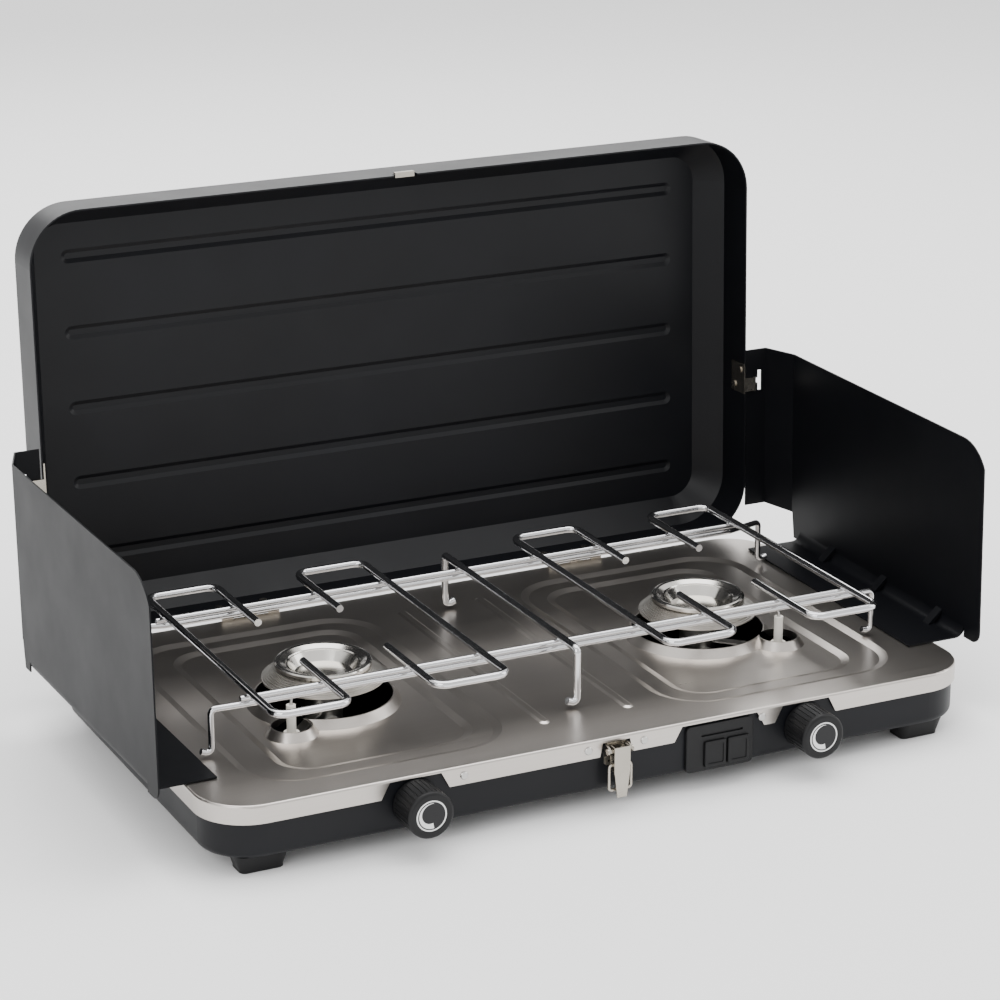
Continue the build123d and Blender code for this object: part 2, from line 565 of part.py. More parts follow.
for name, side in SIDES.items():
    x = BUTTON_X + side * BUTTON_PITCH / 2
    with BuildPart() as button:
        with BuildSketch(front_plane(HOUSING_FRONT - BUTTON_OUT)):
            with Locations((x, BUTTON_Z)):
                RectangleRounded(BUTTON_W, BUTTON_H, 1.2)
        extrude(amount=-12)
        fillet(button.faces().sort_by(Axis.Y)[0].edges(), radius=0.9)
        with BuildSketch(front_plane(HOUSING_FRONT - BUTTON_OUT)):
            with Locations((x, BUTTON_Z)):
                RectangleRounded(BUTTON_W - 4, BUTTON_H - 4, 1)
        extrude(amount=-0.5, mode=Mode.SUBTRACT)
    finish(button, f"{name}_igniter_button", PLASTIC)

    button_back = HOUSING_FRONT - BUTTON_OUT + 12
    piezo_front = BACK_PLATE - WALL
    with BuildPart() as spring:
        with BuildSketch(front_plane(button_back)):
            with Locations((x, BUTTON_Z)):
                Circle(4.2)
                Circle(3.2, mode=Mode.SUBTRACT)
        extrude(amount=-(piezo_front - button_back))
    finish(spring, f"{name}_button_spring", STEEL)

    with BuildPart() as piezo:
        with BuildSketch(front_plane(piezo_front + 2 * WALL)):
            with Locations((x, BUTTON_Z)):
                Circle(5.2)
        extrude(amount=2 * WALL)
        with BuildSketch(front_plane(piezo_front + 2 * WALL)):
            with Locations((x, BUTTON_Z)):
                Circle(6.2)
        extrude(amount=-PIEZO_LEN)
    finish(piezo, f"{name}_piezo_unit", (0.75, 0.73, 0.68))

    # electrode: a bent steel wire in a ceramic sleeve, standing in the tray's lobe
    lobe_x = CENTRE_X + side * (BURNER_X + LOBE[0])
    lobe_y = CENTRE_Y + BURNER_Y + LOBE[1]
    with BuildPart() as insulator:
        with BuildSketch(Plane.XY.offset(TRAY_Z - 16).move(Location((lobe_x, lobe_y, 0)))):
            Circle(3)
        extrude(amount=32)
        with BuildSketch(Plane.XY.offset(TRAY_Z - 6).move(Location((lobe_x, lobe_y, 0)))):
            Circle(5)
        extrude(amount=4)
        with BuildSketch(Plane.XY.offset(TRAY_Z - 17).move(Location((lobe_x, lobe_y, 0)))):
            Circle(1.0)
        extrude(amount=34, mode=Mode.SUBTRACT)
    finish(insulator, f"{name}_electrode_insulator", CERAMIC)

    with BuildPart() as electrode:
        with BuildLine() as path:
            FilletPolyline(
                (lobe_x, lobe_y, TRAY_Z - 20),
                (lobe_x, lobe_y, TRAY_Z + 20),
                (lobe_x - side * 8, lobe_y + 8.5, TRAY_Z + 22.5),
                radius=3,
            )
        with BuildSketch(Plane.XY.offset(TRAY_Z - 20).move(Location((lobe_x, lobe_y, 0)))):
            Circle(1.0)
        sweep(path=path.line)
    finish(electrode, f"{name}_electrode", STEEL)

# two straps that hold the electrodes: a ring round each sleeve, on an arm from the burner's throat
STRAP_Z = TRAY_Z - 7.0
with BuildPart() as electrode_straps:
    for side in SIDES.values():
        reach = Vector(side * LOBE[0], LOBE[1])
        middle = reach.normalized() * (reach.length + THROAT_R) / 2
        turn = degrees(atan(side * LOBE[1] / LOBE[0]))
        with BuildSketch(burner_axis(side, STRAP_Z)):
            with Locations(Location((middle.X, middle.Y, 0), (0, 0, turn))):
                Rectangle(reach.length - THROAT_R, 7)
            with Locations((side * LOBE[0], LOBE[1])):
                Circle(6)
                Circle(3.02, mode=Mode.SUBTRACT)
        extrude(amount=SHEET)
finish(electrode_straps, "electrode_straps", STEEL)

# ---------------------------------------------------------------- draw latch on the front
LATCH_X = 0.0
LATCH_W = 16.0
LATCH_PIVOT_Y = FRONT - 4.6         # lever's pin, in front of the plate
LATCH_PIVOT_Z = TRAY_Z - 7.5
LEVER_LEN, LEVER_W, LEVER_TIP = 30.0, 11.0, 6.5
BAIL_WIRE, BAIL_DROP, BAIL_HALF = 2.0, 16.5, 7.6
BAIL_PIN_DROP = 9.0                 # bail's axis below the lever's pin
PIN_R = 1.2


def latch_plane(x):
    """An upright plane across the stove at x from the latch's middle, looking along +X."""
    return Plane(
        origin=(CENTRE_X + LATCH_X + x, LATCH_PIVOT_Y, LATCH_PIVOT_Z),
        x_dir=(0, 1, 0), z_dir=(1, 0, 0),
    )


with BuildPart() as latch_plate:
    with BuildSketch(front_plane(PAN_FRONT)):
        with Locations((LATCH_X, -11)):
            RectangleRounded(LATCH_W, 15, 2)
    extrude(amount=1.2)
    for ear in (-1, 1):
        with BuildSketch(latch_plane(ear * (LATCH_W / 2 - 0.6))):
            with BuildLine():
                Polyline((5.4, 3.4), (0, 2.6), (-2.6, 0), (0, -2.6), (5.4, -5), close=True)
            make_face()
        extrude(amount=0.6, both=True)
    with BuildSketch(latch_plane(-LATCH_W / 2 - 2)):
        Circle(PIN_R)
    extrude(amount=LATCH_W + 4, mode=Mode.SUBTRACT)
    with BuildSketch(front_plane(PAN_FRONT)):
        with Locations((LATCH_X, -16)):
            with GridLocations(9, 0, 2, 1):
                Circle(1.0)
    extrude(amount=2, mode=Mode.SUBTRACT)
finish(latch_plate, "latch_plate", NICKEL)

with BuildPart() as latch_pins:
    with BuildSketch(latch_plane(-LATCH_W / 2 - 0.5)):
        Circle(PIN_R)
    extrude(amount=LATCH_W + 1)
    for ear in (-1, 1):
        with BuildSketch(latch_plane(ear * (LATCH_W / 2 + 0.5))):
            Circle(PIN_R + 0.8)
        extrude(amount=0.5, both=True)
finish(latch_pins, "latch_pin", NICKEL)

with BuildPart() as latch_lever:
    # a channel that hugs the pin and narrows to a turned-out thumb tip
    with BuildSketch(Plane(
        origin=(CENTRE_X + LATCH_X, LATCH_PIVOT_Y - 2.6, LATCH_PIVOT_Z),
        x_dir=(1, 0, 0), z_dir=(0, -1, 0),
    )):
        with BuildLine():
            Polyline(
                (-LEVER_W / 2, 3.2), (LEVER_W / 2, 3.2), (LEVER_W / 2, -12),
                (LEVER_TIP / 2, -LEVER_LEN), (-LEVER_TIP / 2, -LEVER_LEN), (-LEVER_W / 2, -12),
                close=True,
            )
        make_face()
    extrude(amount=0.9)
    for cheek in (-1, 1):
        with BuildSketch(latch_plane(cheek * (LEVER_W / 2 - 0.45))):
            with BuildLine():
                Polyline((-3.5, 3.2), (2.2, 3.2), (2.6, -3), (1.6, -BAIL_PIN_DROP - 3), (-2.6, -14),
                         (-3.5, -14), close=True)
            make_face()
        extrude(amount=0.45, both=True)
    with BuildSketch(latch_plane(-LATCH_W / 2)):
        Circle(PIN_R + 0.06)
        with Locations((-0.4, -BAIL_PIN_DROP)):
            Circle(BAIL_WIRE / 2 + 0.06)
    extrude(amount=LATCH_W, mode=Mode.SUBTRACT)
finish(latch_lever, "latch_lever", NICKEL)

bail_y, bail_z = LATCH_PIVOT_Y - 0.4, LATCH_PIVOT_Z - BAIL_PIN_DROP
with BuildPart() as latch_bail:
    with BuildLine() as loop:
        FilletPolyline(
            (CENTRE_X + LATCH_X - 3.5, bail_y, bail_z),
            (CENTRE_X + LATCH_X - BAIL_HALF, bail_y, bail_z),
            (CENTRE_X + LATCH_X - BAIL_HALF, bail_y, bail_z - BAIL_DROP),
            (CENTRE_X + LATCH_X + BAIL_HALF, bail_y, bail_z - BAIL_DROP),
            (CENTRE_X + LATCH_X + BAIL_HALF, bail_y, bail_z),
            (CENTRE_X + LATCH_X + 3.5, bail_y, bail_z),
            radius=1.9,
        )
    with BuildSketch(Plane.YZ.offset(CENTRE_X + LATCH_X - 3.5)):
        with Locations((bail_y, bail_z)):
            Circle(BAIL_WIRE / 2)
    sweep(path=loop.line)
finish(latch_bail, "latch_bail", NICKEL)

# ---------------------------------------------------------------- lid
LID_RIBS = 5
RIB_FIRST, RIB_PITCH = 42.3, 51.5       # up the lid's panel, from its lower edge
LID_RIB_LEN, LID_RIB_W, LID_RIB_OUT = 462.0, 15.0, 1.6
LID_DEPTH = LID_WALL + LID_FACET
CATCH_NOTCH = 17.0
HINGE_NOTCH = 8.0
LID_TAPER = degrees(atan(LID_FACET_IN / LID_FACET))

with BuildPart() as lid_shell:
    middle = LID_H / 2
    with BuildSketch(LID):
        with Locations((0, middle)):
            RectangleRounded(LID_W, LID_H, LID_R)
    extrude(amount=LID_WALL)
    with BuildSketch(LID.offset(LID_WALL)):
        with Locations((0, middle)):
            RectangleRounded(LID_W, LID_H, LID_R)
    extrude(amount=LID_FACET, taper=LID_TAPER)
    with BuildSketch(LID.offset(LID_DEPTH - SHEET)):
        with Locations((0, RIB_FIRST + RIB_PITCH * (LID_RIBS - 1) / 2)):
            with GridLocations(0, RIB_PITCH, 1, LID_RIBS):
                SlotOverall(LID_RIB_LEN, LID_RIB_W)
    extrude(amount=SHEET + LID_RIB_OUT, taper=RIB_SLOPE)
    with BuildSketch(LID):
        with Locations((0, middle)):
            RectangleRounded(LID_W - 2 * SHEET, LID_H - 2 * SHEET, LID_R - SHEET)
    extrude(amount=LID_WALL - 0.4 * SHEET, mode=Mode.SUBTRACT)
    with BuildSketch(LID.offset(LID_WALL - 0.4 * SHEET)):
        with Locations((0, middle)):
            RectangleRounded(LID_W - 2 * SHEET, LID_H - 2 * SHEET, LID_R - SHEET)
    extrude(amount=LID_FACET - 0.6 * SHEET, taper=LID_TAPER, mode=Mode.SUBTRACT)
    with BuildSketch(LID.offset(LID_DEPTH - 2 * SHEET)):
        with Locations((0, RIB_FIRST + RIB_PITCH * (LID_RIBS - 1) / 2)):
            with GridLocations(0, RIB_PITCH, 1, LID_RIBS):
                SlotOverall(LID_RIB_LEN - 2.2 * SHEET, LID_RIB_W - 2.2 * SHEET)
    extrude(amount=SHEET + LID_RIB_OUT, taper=RIB_SLOPE, mode=Mode.SUBTRACT)
    # notches: one for the latch's catch, one round each rear hinge
    with Locations(LID.location * Location((0, LID_H, 0))):
        Box(CATCH_NOTCH, 6, 9, mode=Mode.SUBTRACT)
    for side in SIDES.values():
        with Locations(LID.location * Location((side * HINGE_X, 0, 0))):
            Box(HINGE_W + 4, 6, 2 * HINGE_NOTCH, mode=Mode.SUBTRACT)
    holes(lid_rivet_planes(), RIVET_R, 3 * SHEET)
    for side in SIDES.values():
        holes(bracket_rivet_planes(side), RIVET_R, 4 * SHEET)
finish(lid_shell, "lid_shell", BLACK)

with BuildPart() as lid_catch:
    # a strip riveted inside the top wall, with a lip turned out through the notch for the bail
    with Locations(LID.location * Location((0, LID_H - 1.5 * SHEET, 10))):
        Box(CATCH_NOTCH - 3, SHEET, 16)
    with Locations(LID.location * Location((0, LID_H - 0.3, 2.4))):
        Box(CATCH_NOTCH - 3, 3.4, SHEET)
    with Locations(LID.location * Location((0, LID_H + 1.0, 3.6))):
        Box(CATCH_NOTCH - 3, SHEET, 3.4)
finish(lid_catch, "lid_catch", NICKEL)

# ---------------------------------------------------------------- rear hinges
with BuildPart() as hinge_base_leaves:
    for x in knuckle_starts(0):
        with BuildSketch(across(x + RUN / 2)):
            Circle(KNUCKLE_R)
            with Locations((REAR - PIVOT_Y + SHEET / 2, -1.5)):
                Rectangle(SHEET, 3)
            Circle(HINGE_PIN_R, mode=Mode.SUBTRACT)
        extrude(amount=KNUCKLE_W - RUN)
    for side in SIDES.values():
        leaf = (CENTRE_X + side * HINGE_X, REAR + SHEET / 2, PIVOT_Z - KNUCKLE_R - LEAF_DROP / 2)
        with Locations(leaf):
            Box(HINGE_W - RUN, SHEET, LEAF_DROP)
    holes(base_rivet_planes(), RIVET_R, 3 * SHEET)
finish(hinge_base_leaves, "hinge_base_leaves", NICKEL)

with BuildPart() as hinge_lid_leaves:
    for x in knuckle_starts(1):
        with BuildSketch(across(x + RUN / 2)):
            Circle(KNUCKLE_R)
            with Locations((KNUCKLE_R, -SHEET / 2 + LID_FROM_PIVOT[1] - 0.12)):
                Rectangle(2 * KNUCKLE_R + 2, SHEET)
            Circle(HINGE_PIN_R + 0.05, mode=Mode.SUBTRACT)
        extrude(amount=KNUCKLE_W - RUN)
    for side in SIDES.values():
        leaf = Location((side * HINGE_X, -SHEET / 2, LEAF_START + LEAF_LEN / 2))
        with Locations(LID.location * leaf):
            Box(HINGE_W - RUN, SHEET, LEAF_LEN)
    holes(lid_rivet_planes(), RIVET_R, 4 * SHEET)
finish(hinge_lid_leaves, "hinge_lid_leaves", NICKEL)

with BuildPart() as hinge_pins:
    for side in SIDES.values():
        with BuildSketch(across(CENTRE_X + side * HINGE_X - HINGE_W / 2 - 0.5)):
            Circle(HINGE_PIN_R)
        extrude(amount=HINGE_W + 1)
finish(hinge_pins, "hinge_pins", NICKEL)

# ---------------------------------------------------------------- side windshields
SHIELD_REAR = (290.0, 125.0)        # rear corner of the plate, from the base's middle
SHIELD_FRONT = (287.0, -118.0)      # front edge of the plate
SHIELD_H, SHIELD_CORNER, SHIELD_HEEL = 136.5, 30.0, 8.0
TAB_X = (265.0, 281.0)              # the tab hangs just behind the open lid's rim
TAB_Y = BASE_D / 2 + 1.9
TAB_LOW, FACET_LOW = 21.0, 19.0
FLANGE_IN = 43.0                    # flange's width, inwards from the plate
FLANGE_FRONT, FLANGE_REAR = 18.0, 12.0
FLANGE_GAP = 0.4                    # under the flange, over the tray
BEND_R = 8.0
GUSSETS = (-73.0, -4.0, 64.0)       # along the plate, from its middle
GUSSET_W = 7.0
TONGUE_Z, TONGUE_H = 111.5, 10.0
SLOT = ((276.0, 1.6, 15.0), (271.5, 6.0, 4.0))      # upright and neck: across, half width, height
SLOT_Z = 113.5


def shield_plane(side, along):
    """A plane across one shield's plate: x outwards, y up, along its length from its middle."""
    rear = Vector(side * SHIELD_REAR[0], SHIELD_REAR[1], 0)
    front = Vector(side * SHIELD_FRONT[0], SHIELD_FRONT[1], 0)
    back = (rear - front).normalized()
    middle = (rear + front) * 0.5 + Vector(CENTRE_X, CENTRE_Y, TRAY_Z + FLANGE_GAP)
    out = Vector(back.Y, -back.X, 0) * side
    return Plane(origin=middle + back * along, x_dir=out, z_dir=back * -side)


for name, side in SIDES.items():
    length = (Vector(*SHIELD_REAR) - Vector(*SHIELD_FRONT)).length
    flange_half = (length - FLANGE_FRONT - FLANGE_REAR) / 2
    flange_mid = (FLANGE_FRONT - FLANGE_REAR) / 2
    with BuildPart() as windshield:
        # plate, facet and tab in one bent strip, which leans back with the lid
        with BuildSketch(plan(TRAY_Z + FLANGE_GAP)):
            with BuildLine():
                Polyline(
                    (side * TAB_X[0], TAB_Y),
                    (side * TAB_X[1], TAB_Y),
                    (side * SHIELD_REAR[0], SHIELD_REAR[1]),
                    (side * SHIELD_FRONT[0], SHIELD_FRONT[1]),
                )
                offset(amount=SHEET, side=Side.LEFT if side > 0 else Side.RIGHT)
            make_face()
        lean = (0, sin(radians(LEAN)), cos(radians(LEAN)))
        extrude(amount=SHIELD_H + SHEET, dir=lean)
        # side outline: rounded front corners, and the tab cut off above the base
        with BuildSketch(Plane.YZ.offset(CENTRE_X + side * (TAB_X[0] - 20))):
            with BuildLine():
                front, back = CENTRE_Y + SHIELD_FRONT[1] + 0.3, CENTRE_Y + TAB_Y + 10
                top, heel = TRAY_Z + SHIELD_H, TRAY_Z + FLANGE_GAP
                RadiusArc((front, top - SHIELD_CORNER), (front + SHIELD_CORNER, top), SHIELD_CORNER)
                Polyline(
                    (front + SHIELD_CORNER, top), (back, top), (back, TRAY_Z + TAB_LOW),
                    (CENTRE_Y + SHIELD_REAR[1], TRAY_Z + FACET_LOW),
                    (CENTRE_Y + SHIELD_REAR[1] - 3, heel), (front + SHIELD_HEEL, heel),
                )
                RadiusArc((front + SHIELD_HEEL, heel), (front, heel + SHIELD_HEEL), SHIELD_HEEL)
                Line((front, heel + SHIELD_HEEL), (front, top - SHIELD_CORNER))
            make_face()
        extrude(amount=60 * side, mode=Mode.INTERSECT)
        # foot: the plate bends inwards to a flange that lies on the tray
        with BuildSketch(shield_plane(side, flange_mid)):
            with Locations((0, BEND_R / 2)):
                Rectangle(4 * SHEET, BEND_R)
        extrude(amount=flange_half, both=True, mode=Mode.SUBTRACT)
        with BuildSketch(shield_plane(side, flange_mid)):
            with BuildLine():
                Line((SHEET, BEND_R), (0, BEND_R))
                RadiusArc((0, BEND_R), (SHEET - BEND_R, SHEET), BEND_R - SHEET)
                Polyline((SHEET - BEND_R, SHEET), (-FLANGE_IN, SHEET), (-FLANGE_IN, 0))
                Line((-FLANGE_IN, 0), (SHEET - BEND_R, 0))
                RadiusArc((SHEET - BEND_R, 0), (SHEET, BEND_R), -BEND_R)
            make_face()
        extrude(amount=flange_half, both=True)
        for along in GUSSETS:
            with BuildSketch(shield_plane(side, along)):
                with BuildLine():
                    Polyline(
                        (SHEET / 2, BEND_R + 3), (-BEND_R - 3, SHEET / 2),
                        (-BEND_R + SHEET, SHEET / 2), (SHEET / 2, BEND_R), close=True,
                    )
                make_face()
            extrude(amount=GUSSET_W / 2, both=True)
        for x, half, height in SLOT:
            with Locations((CENTRE_X + side * x, CENTRE_Y + TAB_Y + 4, TRAY_Z + SLOT_Z)):
                Box(2 * half, 12, height, mode=Mode.SUBTRACT)
    finish(windshield, f"{name}_windshield", BLACK)

    # bracket on the lid: a plate riveted inside its side wall, with a tongue in front of the tab
    up = BRACKET_Z - LID_FROM_PIVOT[1] - PIVOT_Z + TRAY_Z
    tongue_up = up - BRACKET_Z + TONGUE_Z
    wall_x = LID_W / 2 - SHEET
    with BuildPart() as shield_bracket:
        with Locations(LID.location * Location((-side * (wall_x - SHEET / 2), up, 8.0))):
            Box(SHEET, BRACKET_H, 18)
        tongue_x = (wall_x - SHEET + TAB_X[0] + 7) / 2
        with Locations(LID.location * Location((-side * tongue_x, tongue_up, -0.8))):
            Box(TAB_X[0] + 7 - wall_x + SHEET, TONGUE_H, SHEET)
        with Locations(LID.location * Location((-side * (wall_x - SHEET / 2), tongue_up, -0.65))):
            Box(SHEET, TONGUE_H, 1.3)
        holes(bracket_rivet_planes(side), RIVET_R, 2 * SHEET)
    finish(shield_bracket, f"{name}_shield_bracket", NICKEL)

# ---------------------------------------------------------------- pot support
GRATE_MID_X = 133.5         # middle of each burner's pair of wires
GRATE_HALF_X = 77.0         # long runs from that middle
GRATE_END_X = 28.5          # free ends from that middle
GRATE_Y, FREE_Y = 112.0, 37.0
GRATE_BEND = 8.0
WELD = 0.2                  # how far crossing wires are pressed into each other
RAIL_X, RAIL_FRONT, RAIL_REAR = 216.0, -68.0, 79.0
RAIL_Z = GRATE_Z - (WIRE + RAIL) / 2 + WELD
LEG_Z = RAIL_Z - RAIL + WELD
REST_Z = TRAY_Z + RAIL / 2 + 0.1
HOOK_LEN, HOOK_RISE, LEG_BEND = 7.0, 2.5, 3.2
LEGS = {"front": (235.0, -67.0, RAIL_FRONT, -1), "rear": (238.5, 87.0, RAIL_REAR, 1)}
CENTRE_LEGS = (-94.0, 101.0)


def wire(points, radius, bend):
    """A round wire bent along points, which are given from the base's middle."""
    route = [Vector(x + CENTRE_X, y + CENTRE_Y, z) for x, y, z in points]
    with BuildLine() as path:
        FilletPolyline(*route, radius=bend)
    with BuildSketch(Plane(origin=route[0], z_dir=route[1] - route[0])) as section:
        Circle(radius)
    add(sweep(section.sketch, path=path.line, mode=Mode.PRIVATE))


with BuildPart() as grate_wires:
    for side in SIDES.values():
        for hand in (-1, 1):
            far = side * GRATE_MID_X + hand * GRATE_HALF_X
            near = side * GRATE_MID_X + hand * GRATE_END_X
            wire(
                [(near, FREE_Y, GRATE_Z), (near, GRATE_Y, GRATE_Z), (far, GRATE_Y, GRATE_Z)]
                + [(far, -GRATE_Y, GRATE_Z), (near, -GRATE_Y, GRATE_Z), (near, -FREE_Y, GRATE_Z)],
                WIRE / 2, GRATE_BEND,
            )
finish(grate_wires, "grate_wires", CHROME)

for name, (leg_x, leg_y, rail_y, hook) in LEGS.items():
    with BuildPart() as rail:
        with BuildSketch(Plane.YZ.offset(CENTRE_X - RAIL_X)):
            with Locations((CENTRE_Y + rail_y, RAIL_Z)):
                Circle(RAIL / 2)
        extrude(amount=2 * RAIL_X)
    finish(rail, f"{name}_rail", CHROME)

    # leg wire: welded under the rail, bent down at both ends, with a small hook at each foot
    tip = HOOK_LEN * hook
    with BuildPart() as leg_wire:
        wire(
            [(-leg_x + tip, leg_y, REST_Z + HOOK_RISE), (-leg_x, leg_y, REST_Z)]
            + [(-leg_x, leg_y, LEG_Z), (-RAIL_X + 6, rail_y, LEG_Z), (RAIL_X - 6, rail_y, LEG_Z)]
            + [(leg_x, leg_y, LEG_Z), (leg_x, leg_y, REST_Z)]
            + [(leg_x + tip, leg_y, REST_Z + HOOK_RISE)],
            RAIL / 2, LEG_BEND,
        )
    finish(leg_wire, f"{name}_leg_wire", CHROME)

with BuildPart() as centre_wire:
    near_y, far_y = CENTRE_LEGS
    top = RAIL_Z + (RAIL + WIRE) / 2 - WELD
    low = REST_Z + (WIRE - RAIL) / 2
    wire(
        [(-HOOK_LEN, near_y, low + HOOK_RISE), (0, near_y, low), (0, near_y, top)]
        + [(0, far_y, top), (0, far_y, low), (HOOK_LEN, far_y, low + HOOK_RISE)],
        WIRE / 2, LEG_BEND,
    )
finish(centre_wire, "centre_wire", CHROME)

# ---------------------------------------------------------------- feet and fasteners
FOOT_TREAD, FOOT_FLARE = (28.0, 17.0, 4.0), 18.0       # width, depth, corner radius; slope of sides
TREAD_H, SCREW_HEAD_R, SCREW_HEAD_H = 1.5, 3.8, 1.7
SCREW_SINK = 2.6

with BuildPart() as feet:
    for low, high, flare in ((0, TREAD_H, 0), (TREAD_H, FOOT_H, FOOT_FLARE)):
        with BuildSketch(plan(low)):
            with GridLocations(2 * FOOT_X, 2 * FOOT_Y, 2, 2):
                RectangleRounded(*FOOT_TREAD)
        extrude(amount=high - low, taper=-flare)
    for radius, depth in ((SCREW_HEAD_R + RUN, SCREW_SINK), (SCREW_R + 0.2, FOOT_H)):
        with BuildSketch(plan(0)):
            with GridLocations(2 * FOOT_X, 2 * FOOT_Y, 2, 2):
                Circle(radius)
        extrude(amount=depth, mode=Mode.SUBTRACT)
finish(feet, "feet", PLASTIC)

with BuildPart() as foot_screws:
    head_low = SCREW_SINK - SCREW_HEAD_H
    for radius, length in ((SCREW_HEAD_R, SCREW_HEAD_H), (SCREW_R, FOOT_H + 3)):
        with BuildSketch(plan(head_low)):
            with GridLocations(2 * FOOT_X, 2 * FOOT_Y, 2, 2):
                Circle(radius)
        extrude(amount=length)
finish(foot_screws, "foot_screws", STEEL)

with BuildPart() as skirt_screws:
    with BuildSketch(front_plane(FRONT)):
        for x in SCREWS_X:
            with Locations((x, -SCREW_DROP)):
                Circle(2.6)
    extrude(amount=0.9)
    chamfer(skirt_screws.faces().filter_by(Axis.Y).group_by(Axis.Y)[0].edges(), length=0.5)
    with BuildSketch(front_plane(FRONT)):
        for x in SCREWS_X:
            with Locations((x, -SCREW_DROP)):
                Circle(SKIRT_SCREW_R)
    extrude(amount=-4.5)
finish(skirt_screws, "skirt_screws", STEEL)


def rivets(planes, depth):
    """Round-headed rivets at these planes, with shanks that run towards their backs."""
    for spot in planes:
        with BuildSketch(spot) as shank:
            Circle(RIVET_R)
        extrude(shank.sketch, amount=-depth)
        with BuildSketch(spot) as head:
            Circle(RIVET_HEAD)
        extrude(head.sketch, amount=0.8)


with BuildPart() as lid_rivets:
    rivets(lid_rivet_planes(), 2 * SHEET)
    for side in SIDES.values():
        rivets(bracket_rivet_planes(side), 2 * SHEET)
finish(lid_rivets, "lid_rivets", NICKEL)

with BuildPart() as hinge_base_rivets:
    rivets(base_rivet_planes(), 2 * SHEET)
finish(hinge_base_rivets, "hinge_base_rivets", NICKEL)
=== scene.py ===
"""Looks of the two-burner camping stove: finishes on every CAD node, with lights, floor and camera."""

import math

import bpy
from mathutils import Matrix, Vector


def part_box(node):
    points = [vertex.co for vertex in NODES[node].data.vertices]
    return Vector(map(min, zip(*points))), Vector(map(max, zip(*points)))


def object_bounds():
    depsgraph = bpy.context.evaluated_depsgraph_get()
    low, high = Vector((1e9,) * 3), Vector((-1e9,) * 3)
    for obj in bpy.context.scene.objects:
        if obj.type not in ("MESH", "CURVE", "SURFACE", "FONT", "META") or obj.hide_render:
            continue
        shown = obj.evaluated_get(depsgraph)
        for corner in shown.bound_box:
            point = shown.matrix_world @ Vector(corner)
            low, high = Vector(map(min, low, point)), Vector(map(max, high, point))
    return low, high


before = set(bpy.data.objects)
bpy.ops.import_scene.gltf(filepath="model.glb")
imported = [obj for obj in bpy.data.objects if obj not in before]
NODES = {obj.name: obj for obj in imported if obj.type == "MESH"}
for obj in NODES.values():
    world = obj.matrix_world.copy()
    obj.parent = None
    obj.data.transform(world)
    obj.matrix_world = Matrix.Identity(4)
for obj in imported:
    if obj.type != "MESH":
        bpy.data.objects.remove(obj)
cad_low, cad_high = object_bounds()
BLACK, WHITE = (0.006, 0.006, 0.007), (0.75, 0.75, 0.74)
RING_IN, RING_OUT = 0.88, 0.97                  # knob mark's ring, as parts of its disc's radius
WEDGE_OUT, WEDGE_START, WEDGE_END = 0.80, 0.22, 0.78    # its wedge: outer radius, and turns from the right
WEDGE_IN, WEDGE_GROWTH = 0.92, 0.60             # inner radius where turns are 0, and how fast it shrinks
FLOOR_HALF, FLOOR_GAP = 6.0, 0.0004             # metres
BASE_Y, TRAY_TOP = -0.0184, 0.047               # middle of the base and top of the tray, in the frame
CAMERA_SPOT, CAMERA_TURN = (-0.84683, -1.70898, 0.75097), (1.24609, 0.0, -0.4564)
CAMERA_LENS, CAMERA_SENSOR = 112.46, 36.0       # millimetres


